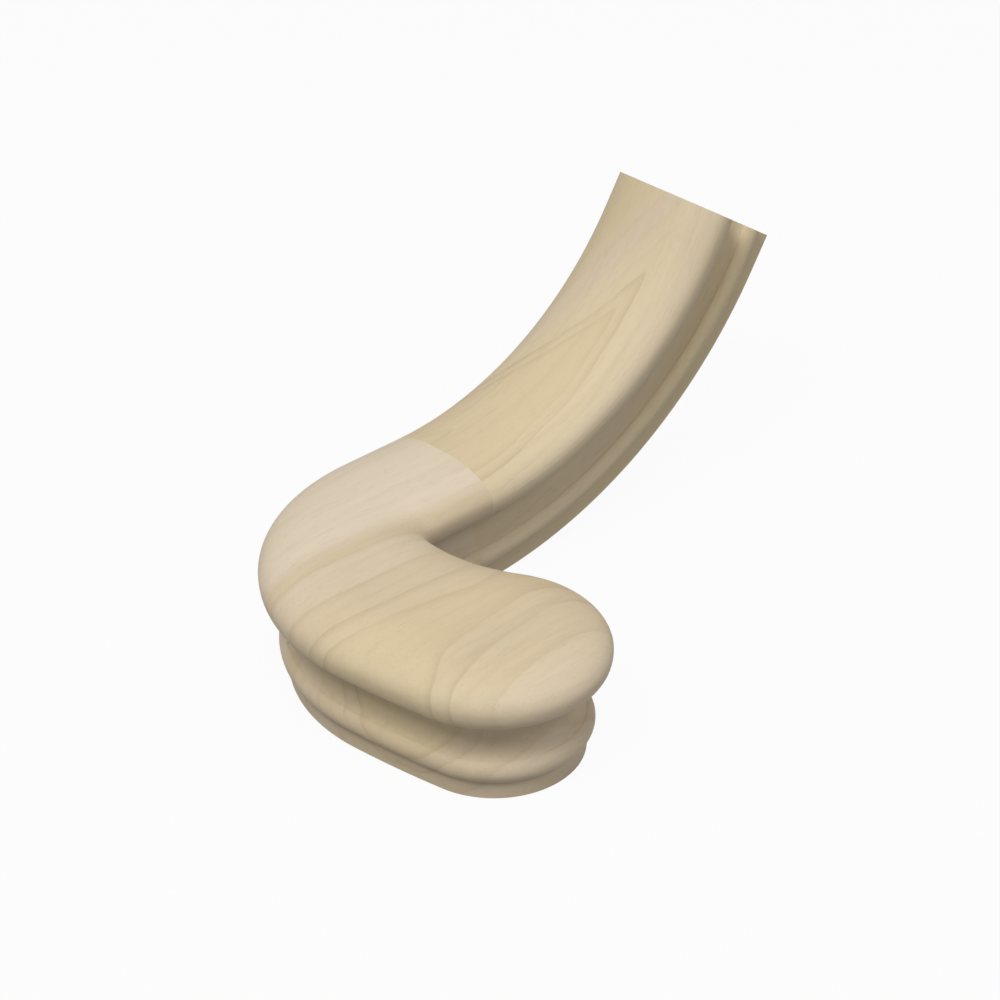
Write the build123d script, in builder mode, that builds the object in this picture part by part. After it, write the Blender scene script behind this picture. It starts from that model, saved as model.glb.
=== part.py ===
"""Turnout handrail fitting: an up-easing glued to a level right-hand turn with a round cap.

Millimetres. The origin is the mouth of the newel pin bore, at the centre of the cap's underside.
+Z is up, +Y is uphill along the rail and +X is the side that the fitting turns to.
"""
from build123d import *
from math import atan2, cos, degrees, hypot, radians, sin, sqrt
import os

# Rail section, seen from the end
rail_width = 57.15
rail_height = 52.0
crown_flat = 8.0
crown_pull = 11.0
roll_height = 40.5
roll_pull = 7.5
cove_width = 33.0
cove_height = 25.0
ogee_pull = 10.3
bead_top = 16.0
bead_seat = 40.0
bead_width = 45.0
foot_height = 7.3
foot_width = 39.0

# Plan of the level turnout, at its widest line
cap_radius = 41.5
cap_to_rail = 96.0
cap_to_joint = 63.0
outer_turn_radius = 83.5
turn_reach = 48.0
front_radius = 410.0
hook_straight = 31.0
hook_radius = 6.0
neck_radius = 63.0

# Up-easing
easing_radius = 182.0
easing_angle = 56.5
straight_length = 15.0

# Dowels across the glued joint
dowel_diameter = 10.0
dowel_length = 50.0
dowel_chamfer = 1.0
dowel_clearance = 0.1
dowel_end_gap = 0.5
lower_dowel_height = 15.0
upper_dowel_height = 36.0
flute_count = 12
flute_depth = 0.4

# Newel pin bore under the cap
pin_bore_diameter = 19.05
pin_bore_depth = 25.4

half_width = rail_width / 2
rail_x = -cap_to_rail
joint_y = cap_to_joint
joint = Plane(origin=(rail_x, joint_y, 0), x_dir=(1, 0, 0), z_dir=(0, -1, 0))


def touching_centre(x, y, reach, cap_reach):
    """Centre at given distances from (x, y) and from the cap's centre, clockwise of the line between them."""
    length = hypot(x, y)
    along = (length**2 + cap_reach**2 - reach**2) / (2 * length)
    aside = sqrt(cap_reach**2 - along**2)
    return ((x * along + y * aside) / length, (y * along - x * aside) / length)


def direction(start, end):
    """Angle in degrees, from 0 to 360, from one point to another."""
    return degrees(atan2(end[1] - start[1], end[0] - start[0])) % 360


# The outer side turns away from the rail, sweeps across the front and closes round the cap
cap = (0, 0)
turn = (rail_x - half_width + outer_turn_radius, outer_turn_radius - turn_reach)
front = touching_centre(*turn, front_radius - outer_turn_radius, front_radius - cap_radius)
turn_end = direction(front, turn)
front_end = direction(front, cap)

# The inner side turns round the hook, then round a wide hollow that meets the cap
hook = (rail_x + half_width + hook_radius, joint_y - hook_straight)
neck = touching_centre(*hook, neck_radius - hook_radius, neck_radius + cap_radius)
cap_end = direction(cap, neck)
hook_end = direction(neck, hook)


def plan_edge(inset):
    """Edge of the level turnout, moved in by inset from its widest line."""
    half = half_width - inset
    with BuildLine() as edge:
        Line((rail_x - half, joint_y), (rail_x - half, turn[1]))
        CenterArc(turn, outer_turn_radius - inset, 180, turn_end - 180)
        CenterArc(front, front_radius - inset, turn_end, front_end - turn_end)
        CenterArc(cap, cap_radius - inset, front_end, 360 + cap_end - front_end)
        CenterArc(neck, neck_radius + inset, cap_end + 180, hook_end - cap_end - 180)
        CenterArc(hook, hook_radius + inset, hook_end, 180 - hook_end)
        Line((rail_x + half, hook[1]), (rail_x + half, joint_y))
    return edge.wire()


def moulded_side():
    """Left side of the rail section, from the flat of the crown round the roll, cove and bead."""
    crown = (-crown_flat / 2, rail_height)
    roll = (-half_width, roll_height)
    cove = (-cove_width / 2, cove_height)
    bead = (-bead_seat / 2, bead_top)
    bead_nose = (-bead_width / 2, (bead_top + foot_height) / 2)
    cove_pull = (cove_height - bead_top) / 2
    seat_pull = (bead_seat - cove_width) / 4
    with BuildLine() as side:
        Bezier(crown, (crown[0] - crown_pull, rail_height), (roll[0], roll_height + roll_pull), roll)
        Bezier(roll, (roll[0], roll_height - ogee_pull), (cove[0], cove_height + ogee_pull), cove)
        Bezier(cove, (cove[0], cove_height - cove_pull), (bead[0] + seat_pull, bead_top), bead)
        ThreePointArc(bead, bead_nose, (bead[0], foot_height))
        Line((bead[0], foot_height), (-foot_width / 2, foot_height))
        Line((-foot_width / 2, foot_height), (-foot_width / 2, 0))
    return side.wire()


def joint_planes(side):
    """One plane per dowel on the glued joint, facing uphill for side +1 and downhill for side -1."""
    heights = (lower_dowel_height, upper_dowel_height)
    return [Plane(origin=(rail_x, joint_y, z), z_dir=(0, side, 0)) for z in heights]


hole_radius = dowel_diameter / 2 + dowel_clearance
hole_depth = dowel_length / 2 + dowel_end_gap

# Level turnout: a flat core with the moulded edge run round it, bored for the dowels and the newel pin
with BuildPart() as turnout:
    with BuildSketch():
        with BuildLine():
            inner = plan_edge(half_width - crown_flat / 2)
            add(inner)
            Line(inner @ 1, inner @ 0)
        make_face()
    extrude(amount=rail_height)
    with BuildSketch(joint):
        with BuildLine():
            add(moulded_side())
            Line((-foot_width / 2, 0), (-crown_flat / 2, 0))
            Line((-crown_flat / 2, 0), (-crown_flat / 2, rail_height))
        make_face()
    sweep(path=plan_edge(0))
    with Locations(*joint_planes(1)):
        Hole(hole_radius, hole_depth)
    with Locations(Plane(origin=(0, 0, 0), z_dir=(0, 0, -1))):
        Hole(pin_bore_diameter / 2, pin_bore_depth)
turnout.part.label = "turnout"

# Up-easing: the whole rail section turned about a level axis above the joint
with BuildPart() as easing:
    with BuildSketch(joint):
        with BuildLine():
            add(moulded_side())
            Line((-foot_width / 2, 0), (0, 0))
            Line((0, 0), (0, rail_height))
            Line((0, rail_height), (-crown_flat / 2, rail_height))
        make_face()
        mirror(about=Plane.YZ)
    revolve(axis=Axis((rail_x, joint_y, easing_radius), (1, 0, 0)), revolution_arc=easing_angle)
    uphill = Vector(0, cos(radians(easing_angle)), sin(radians(easing_angle)))
    rail_end = easing.faces().sort_by(Axis((rail_x, joint_y, 0), uphill))[-1]
    extrude(rail_end, amount=straight_length)
    with Locations(*joint_planes(-1)):
        Hole(hole_radius, hole_depth)
easing.part.label = "easing"

# Fluted dowels, half in each piece
dowels = []
for plane in joint_planes(1):
    start = plane.offset(-dowel_length / 2)
    with BuildPart() as dowel:
        with BuildSketch(start):
            Circle(dowel_diameter / 2)
        extrude(amount=dowel_length)
        chamfer(dowel.edges().filter_by(GeomType.CIRCLE), dowel_chamfer)
        with BuildSketch(start):
            with PolarLocations(dowel_diameter / 2, flute_count):
                Circle(flute_depth)
        extrude(amount=dowel_length, mode=Mode.SUBTRACT)
    dowels.append(dowel.part)

os.makedirs("parts", exist_ok=True)
export_step(turnout.part, "parts/turnout.step")
export_step(easing.part, "parts/easing.step")
for number, piece in enumerate(dowels, start=1):
    piece.label = f"dowel_{number}"
    export_step(piece, f"parts/dowel_{number}.step")
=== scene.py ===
"""Turnout handrail fitting: two boards of pale hardwood, plain soft studio light and the camera.

Metres, in the CAD's frame: +Z up, +Y uphill along the rail and +X to the side that the fitting turns to.
"""
from collections import namedtuple
from math import cos, radians, sin

import bpy
from mathutils import Matrix, Vector


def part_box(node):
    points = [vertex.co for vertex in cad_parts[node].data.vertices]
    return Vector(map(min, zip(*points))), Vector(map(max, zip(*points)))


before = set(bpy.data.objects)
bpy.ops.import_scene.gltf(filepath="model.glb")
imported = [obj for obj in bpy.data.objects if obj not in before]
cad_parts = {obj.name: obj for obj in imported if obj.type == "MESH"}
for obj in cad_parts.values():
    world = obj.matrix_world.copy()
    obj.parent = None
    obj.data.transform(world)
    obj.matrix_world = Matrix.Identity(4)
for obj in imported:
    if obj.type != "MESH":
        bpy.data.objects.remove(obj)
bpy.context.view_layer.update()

# Camera: the side it looks from, its roll and distance, and the point at the picture's centre
camera_azimuth = radians(47.07)
camera_elevation = radians(32.25)
camera_roll = radians(-0.68)
camera_distance = 1.085
camera_target = Vector((-0.11542, 0.111, 0.0))
camera_clip = 0.01
picture_width = 1000
pixels_per_metre = 2467.7
sensor_width = 36.0

# Square soft boxes that point at the middle of the part: name, place from there, size and watts
lamps = (("key", (0.35, -1.0, 1.6), 0.8, 22.0),
         ("top", (0.0, 0.3, 2.0), 1.2, 5.0),
         ("side", (1.3, 0.2, 1.3), 0.5, 5.0))
surround_strength = 0.33

# Floor: grey for the light that it throws back, with a glow that turns it white for the camera
floor_half_width = 6.0
floor_grey = (0.3, 0.3, 0.3, 1)
floor_roughness = 0.9
floor_glow = 1.05
floor_glow_share = 0.9

# Colours of the wood (sRGB), as they look in the photograph
warm_pale = (0.845, 0.78, 0.655)
warm_tan = (0.83, 0.76, 0.625)
soft_yellow = (0.82, 0.75, 0.615)
beige_pink = (0.83, 0.765, 0.665)
sapwood_pink = (0.86, 0.80, 0.715)
cap_tan = (0.815, 0.745, 0.63)
line_brown = (0.64, 0.545, 0.41)
pore_brown = (0.56, 0.47, 0.35)
dowel_tan = (0.74, 0.61, 0.43)

# Noise on a board: grain is its fineness across, along and through the grain, per metre, and levels are
# the values between which the mark that it drives grows from nothing to full strength
Noise = namedtuple("Noise", "grain detail roughness levels", defaults=(0.5, None))
drift_noise = Noise(grain=(45, 16, 45), detail=3.0)
patch_noise = Noise(grain=(30, 10, 30), detail=2.0, levels=(0.30, 0.60))
cloud_noise = Noise(grain=(20, 5, 20), detail=3.0, levels=(0.35, 0.70))
streak_noise = Noise(grain=(260, 9, 260), detail=3.0, levels=(0.40, 0.75))
fibre_noise = Noise(grain=(1500, 60, 1500), detail=4.0, roughness=0.6, levels=(0.55, 0.72))
pore_noise = Noise(grain=(1900, 170, 1900), detail=1.0, levels=(0.58, 0.76))

# Full strength of each mark, from 0 to 1
ring_depth = 0.37
cloud_depth = 0.35
streak_depth = 0.10
fibre_depth = 0.13
pore_depth = 0.11

# Surface of the wood: the fibres make it rougher and give it a shallow bump
rough_levels = (0.3, 0.7)
least_roughness = 0.52
most_roughness = 0.64
wood_specular = 0.25
bump_strength = 0.3
bump_height = 0.0001

# A growth line starts soft on the inside and stops sharply on the outside. It strays by up to about half
# of ring_wander, and fades in patches to the share ring_fade of its strength.
ring_soft = 0.0035
ring_sharp = 0.0005
ring_curve = 1.7
ring_wander = 0.005
ring_fade = 0.35
ramp_reach = 0.12

# Lines are rows of distance from the pith and strength, and zones are rows of that distance and colour.
# The easing's lines are long nested arches: its pith lies just under the crown and leans right uphill.
easing_radius = 0.182
rail_height = 0.052
easing_pith_aside = -0.011
easing_pith_lean = 0.14
easing_pith_rise = 0.0015
easing_taper = 0.21
easing_seed = 3.1
easing_lines = ((0.0052, 0.6), (0.0186, 0.2), (0.0285, 0.75), (0.0328, 0.95), (0.0395, 0.5),
                (0.0470, 0.4), (0.0560, 0.4), (0.0640, 0.3), (0.0725, 0.4), (0.0830, 0.3))
easing_zones = ((0.0, warm_tan), (0.028, warm_tan), (0.038, warm_pale), (0.050, beige_pink),
                (0.065, warm_tan))

# The turnout's pith lies inside the board and rises towards the front, with pale sapwood far from it
turnout_pith_x = -0.012
turnout_pith_z = 0.030
turnout_pith_fall = 0.10
turnout_seed = 7.7
turnout_lines = ((0.0170, 0.25), (0.0245, 1.0), (0.0309, 0.9), (0.0365, 0.3), (0.0426, 0.75),
                 (0.0475, 0.3), (0.0525, 0.35), (0.0579, 0.75), (0.0760, 0.2))
turnout_zones = ((0.0, soft_yellow), (0.022, soft_yellow), (0.028, cap_tan), (0.040, cap_tan),
                 (0.046, beige_pink), (0.055, beige_pink), (0.0585, cap_tan), (0.0625, cap_tan),
                 (0.0685, sapwood_pink))

# The dowels' pith lies beside them
dowel_pith_aside = -0.01
dowel_seed = 1.3
dowel_lines = ((0.012, 0.5), (0.016, 0.7))
dowel_zones = ((0.0, dowel_tan),)


def linear(colour):
    """Linear RGBA of an sRGB colour."""
    return tuple(c / 12.92 if c <= 0.04045 else ((c + 0.055) / 1.055) ** 2.4 for c in colour) + (1.0,)


class Tree:
    """A material's node tree, with short calls to add nodes and links."""

    def __init__(self, name):
        self.material = bpy.data.materials.new(name)
        self.material.use_nodes = True
        self.nodes = self.material.node_tree.nodes
        self.links = self.material.node_tree.links
        self.shader = self.nodes["Principled BSDF"]
        self.output = self.nodes["Material Output"]

    def add(self, kind, **settings):
        node = self.nodes.new(kind)
        for key, value in settings.items():
            setattr(node, key, value)
        return node

    def feed(self, value, socket):
        """Links a socket, or writes a constant."""
        if isinstance(value, bpy.types.NodeSocket):
            self.links.new(value, socket)
        else:
            socket.default_value = value

    def math(self, operation, first, second=0.0):
        node = self.add("ShaderNodeMath", operation=operation)
        self.feed(first, node.inputs[0])
        self.feed(second, node.inputs[1])
        return node.outputs[0]

    def mix(self, factor, first, second):
        node = self.add("ShaderNodeMix", data_type="RGBA")
        self.feed(factor, node.inputs["Factor"])
        self.feed(first, node.inputs["A"])
        self.feed(second, node.inputs["B"])
        return node.outputs["Result"]

    def place(self, vector, location, scale=(1, 1, 1)):
        node = self.add("ShaderNodeMapping")
        self.feed(vector, node.inputs["Vector"])
        node.inputs["Location"].default_value = location
        node.inputs["Scale"].default_value = scale
        return node.outputs["Vector"]

    def noise(self, board, kind, shift=(0, 0, 0)):
        """One of the noises above, on a board. A shift gives a board a pattern of its own."""
        node = self.add("ShaderNodeTexNoise")
        self.feed(self.place(board, shift, kind.grain), node.inputs["Vector"])
        node.inputs["Scale"].default_value = 1.0
        node.inputs["Detail"].default_value = kind.detail
        node.inputs["Roughness"].default_value = kind.roughness
        return node.outputs["Fac"]

    def remap(self, value, levels, low, high):
        """Smooth step from low to high while value goes from the first level to the second."""
        node = self.add("ShaderNodeMapRange", interpolation_type="SMOOTHSTEP")
        self.feed(value, node.inputs["Value"])
        for name, number in zip(("From Min", "From Max", "To Min", "To Max"), (*levels, low, high)):
            node.inputs[name].default_value = number
        return node.outputs["Result"]

    def ramp(self, distance, stops):
        """Colour by distance, from rows of distance and linear colour."""
        node = self.add("ShaderNodeValToRGB")
        self.feed(self.math("DIVIDE", distance, ramp_reach), node.inputs["Fac"])
        first, last = node.color_ramp.elements
        first.color = stops[0][1]
        last.color = stops[-1][1]
        for place, colour in stops:
            node.color_ramp.elements.new(place / ramp_reach).color = colour
        return node.outputs["Color"]

    def point(self):
        """Place on the object."""
        return self.add("ShaderNodeTexCoord").outputs["Object"]

    def split(self, vector):
        node = self.add("ShaderNodeSeparateXYZ")
        self.feed(vector, node.inputs[0])
        return node.outputs["X"], node.outputs["Y"], node.outputs["Z"]

    def join(self, x, y, z):
        node = self.add("ShaderNodeCombineXYZ")
        self.feed(x, node.inputs["X"])
        self.feed(y, node.inputs["Y"])
        self.feed(z, node.inputs["Z"])
        return node.outputs["Vector"]

    def length(self, first, second):
        first_square = self.math("MULTIPLY", first, first)
        second_square = self.math("MULTIPLY", second, second)
        return self.math("SQRT", self.math("ADD", first_square, second_square))


def straight_board(tree, pith):
    """Board with straight grain: Y along it, X and Z across it, and the pith through the point pith."""
    return tree.place(tree.point(), tuple(-c for c in pith))


def bent_board(tree, middle, start, radius, height):
    """Board whose grain follows the easing: Y along the rail, X across it from middle, Z up from height."""
    x, y, z = tree.split(tree.point())
    forward = tree.math("SUBTRACT", y, start)
    drop = tree.math("SUBTRACT", radius, z)
    along = tree.math("MULTIPLY", tree.math("ARCTAN2", forward, drop), radius)
    above = tree.math("SUBTRACT", radius - height, tree.length(forward, drop))
    return tree.join(tree.math("SUBTRACT", x, middle), along, above)


def from_pith(tree, board, lean, fall, taper):
    """Distance from a pith that leans sideways and falls along the board, in a stem that tapers."""
    x, along, z = tree.split(board)
    aside = tree.math("SUBTRACT", x, tree.math("MULTIPLY", along, lean))
    above = tree.math("ADD", z, tree.math("MULTIPLY", along, fall))
    return tree.math("ADD", tree.length(aside, above), tree.math("MULTIPLY", along, taper))


def strayed(tree, board, distance, seed):
    """Distance from the pith with a slow natural wander."""
    drift = tree.math("SUBTRACT", tree.noise(board, drift_noise, (seed, 0, 0)), 0.5)
    return tree.math("ADD", distance, tree.math("MULTIPLY", drift, ring_wander))


def rings(tree, board, distance, lines, seed):
    """Growth lines at stated distances from the pith, which fade in and out along the grain."""
    stops = []
    for radius, strength in lines:
        stops += [(radius - ring_soft, 0.0), (radius, strength), (radius + ring_sharp, 0.0)]
    level = tree.ramp(distance, [(place, (value, value, value, 1)) for place, value in stops])
    level = tree.math("POWER", level, ring_curve)
    patch = tree.noise(board, patch_noise, (0, seed, 0))
    fade = tree.remap(patch, patch_noise.levels, ring_fade * ring_depth, ring_depth)
    return tree.math("MULTIPLY", level, fade)


def ground(tree, board, distance, zones, seed):
    """Tone of the wood by distance from the pith, with clouds drawn out along the grain."""
    tone = tree.ramp(distance, [(place, linear(colour)) for place, colour in zones])
    cloud = tree.noise(board, cloud_noise, (0, 0, seed))
    return tree.mix(tree.remap(cloud, cloud_noise.levels, 0.0, cloud_depth), tone, linear(warm_tan))


def finish_wood(tree, board, distance, lines, zones, seed):
    """Joins tone, growth lines, streaks, fibres and pores into colour, roughness and a shallow bump."""
    streak = tree.noise(board, streak_noise)
    fibre = tree.noise(board, fibre_noise)
    pore = tree.noise(board, pore_noise)
    colour = ground(tree, board, distance, zones, seed)
    for mark, brown in (
        (rings(tree, board, distance, lines, seed), line_brown),
        (tree.remap(streak, streak_noise.levels, 0.0, streak_depth), line_brown),
        (tree.remap(fibre, fibre_noise.levels, 0.0, fibre_depth), line_brown),
        (tree.remap(pore, pore_noise.levels, 0.0, pore_depth), pore_brown),
    ):
        colour = tree.mix(mark, colour, linear(brown))
    bump = tree.add("ShaderNodeBump")
    bump.inputs["Strength"].default_value = bump_strength
    bump.inputs["Distance"].default_value = bump_height
    tree.feed(fibre, bump.inputs["Height"])
    roughness = tree.remap(fibre, rough_levels, least_roughness, most_roughness)
    tree.feed(colour, tree.shader.inputs["Base Color"])
    tree.feed(roughness, tree.shader.inputs["Roughness"])
    tree.feed(wood_specular, tree.shader.inputs["Specular IOR Level"])
    tree.feed(bump.outputs["Normal"], tree.shader.inputs["Normal"])
    return tree.material


def give(node, material):
    """Puts one material on a CAD node."""
    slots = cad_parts[node].data.materials
    slots.clear()
    slots.append(material)


def easing_wood():
    """The easing's board: growth lines that close in long nested arches on the hollow of the curve."""
    low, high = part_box("easing")
    tree = Tree("easing_wood")
    middle = (low.x + high.x) / 2 + easing_pith_aside
    board = bent_board(tree, middle, low.y, easing_radius, rail_height - easing_pith_rise)
    distance = from_pith(tree, board, easing_pith_lean, 0.0, easing_taper)
    distance = strayed(tree, board, distance, easing_seed)
    return finish_wood(tree, board, distance, easing_lines, easing_zones, easing_seed)


def turnout_wood():
    """The turnout's board: yellowish heart, faint arches on the cap, pale sapwood in line with the rail."""
    tree = Tree("turnout_wood")
    board = straight_board(tree, (turnout_pith_x, 0.0, turnout_pith_z))
    distance = from_pith(tree, board, 0.0, turnout_pith_fall, 0.0)
    distance = strayed(tree, board, distance, turnout_seed)
    return finish_wood(tree, board, distance, turnout_lines, turnout_zones, turnout_seed)


def dowel_wood():
    """Fluted dowel stock."""
    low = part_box("dowel_1")[0]
    tree = Tree("dowel_wood")
    board = straight_board(tree, (low.x + dowel_pith_aside, low.y, low.z))
    distance = from_pith(tree, board, 0.0, 0.0, 0.0)
    return finish_wood(tree, board, distance, dowel_lines, dowel_zones, dowel_seed)


def mesh_object(name, vertices, faces, material):
    """A plain mesh with one material."""
    mesh = bpy.data.meshes.new(name)
    mesh.from_pydata(vertices, [], faces)
    mesh.materials.append(material)
    thing = bpy.data.objects.new(name, mesh)
    bpy.context.scene.collection.objects.link(thing)
    return thing


def floor():
    """Pale floor that looks white from the camera and keeps a soft shadow."""
    tree = Tree("floor")
    tree.feed(floor_grey, tree.shader.inputs["Base Color"])
    tree.feed(floor_roughness, tree.shader.inputs["Roughness"])
    tree.feed(0.0, tree.shader.inputs["Specular IOR Level"])
    glow = tree.add("ShaderNodeEmission")
    tree.feed(floor_glow, glow.inputs["Strength"])
    path = tree.add("ShaderNodeLightPath")
    seen = tree.math("MAXIMUM", path.outputs["Is Camera Ray"], path.outputs["Is Glossy Ray"])
    seen = tree.math("MAXIMUM", seen, path.outputs["Is Transmission Ray"])
    blend = tree.add("ShaderNodeMixShader")
    tree.feed(tree.math("MULTIPLY", seen, floor_glow_share), blend.inputs[0])
    tree.feed(tree.shader.outputs["BSDF"], blend.inputs[1])
    tree.feed(glow.outputs["Emission"], blend.inputs[2])
    tree.feed(blend.outputs["Shader"], tree.output.inputs["Surface"])
    half = floor_half_width
    corners = [(-half, -half, 0), (half, -half, 0), (half, half, 0), (-half, half, 0)]
    mesh_object("floor", corners, [(0, 1, 2, 3)], tree.material)


def lamp(name, place, aim, size, power):
    """A square soft box that points at aim."""
    light = bpy.data.lights.new(name, "AREA")
    light.shape = "SQUARE"
    light.size = size
    light.energy = power
    thing = bpy.data.objects.new(name, light)
    thing.location = place
    thing.rotation_euler = (aim - place).to_track_quat("-Z", "Y").to_euler()
    bpy.context.scene.collection.objects.link(thing)


def studio():
    """Three soft lamps above the part, and a pale surround that looks white from the camera."""
    middle = (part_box("turnout")[0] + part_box("easing")[1]) / 2
    for name, offset, size, power in lamps:
        lamp(name, middle + Vector(offset), middle, size, power)
    world = bpy.data.worlds.new("surround")
    bpy.context.scene.world = world
    world.use_nodes = True
    nodes = world.node_tree.nodes
    links = world.node_tree.links
    back = nodes["Background"]
    back.inputs["Color"].default_value = (1, 1, 1, 1)
    path = nodes.new("ShaderNodeLightPath")
    seen = nodes.new("ShaderNodeMath")
    seen.operation = "MAXIMUM"
    links.new(path.outputs["Is Camera Ray"], seen.inputs[0])
    links.new(path.outputs["Is Transmission Ray"], seen.inputs[1])
    level = nodes.new("ShaderNodeMapRange")
    level.inputs["To Min"].default_value = surround_strength
    level.inputs["To Max"].default_value = 1.0
    links.new(seen.outputs[0], level.inputs["Value"])
    links.new(level.outputs["Result"], back.inputs["Strength"])


def camera():
    """The camera at the photograph's viewing angle."""
    away = cos(camera_elevation)
    back = Vector((sin(camera_azimuth) * away, -cos(camera_azimuth) * away, sin(camera_elevation)))
    right = Vector((cos(camera_azimuth), sin(camera_azimuth), 0))
    up = back.cross(right)
    turned_right = right * cos(camera_roll) + up * sin(camera_roll)
    turned_up = up * cos(camera_roll) - right * sin(camera_roll)
    lens = bpy.data.cameras.new("camera")
    lens.sensor_width = sensor_width
    lens.lens = pixels_per_metre * camera_distance / picture_width * sensor_width
    lens.clip_start = camera_clip
    eye = bpy.data.objects.new("camera", lens)
    axes = Matrix((turned_right, turned_up, back)).transposed().to_4x4()
    eye.matrix_world = Matrix.Translation(camera_target + back * camera_distance) @ axes
    bpy.context.scene.collection.objects.link(eye)
    bpy.context.scene.camera = eye


give("easing", easing_wood())
give("turnout", turnout_wood())
for dowel in ("dowel_1", "dowel_2"):
    give(dowel, dowel_wood())
floor()
studio()
camera()
bpy.context.scene.view_settings.view_transform = "Standard"
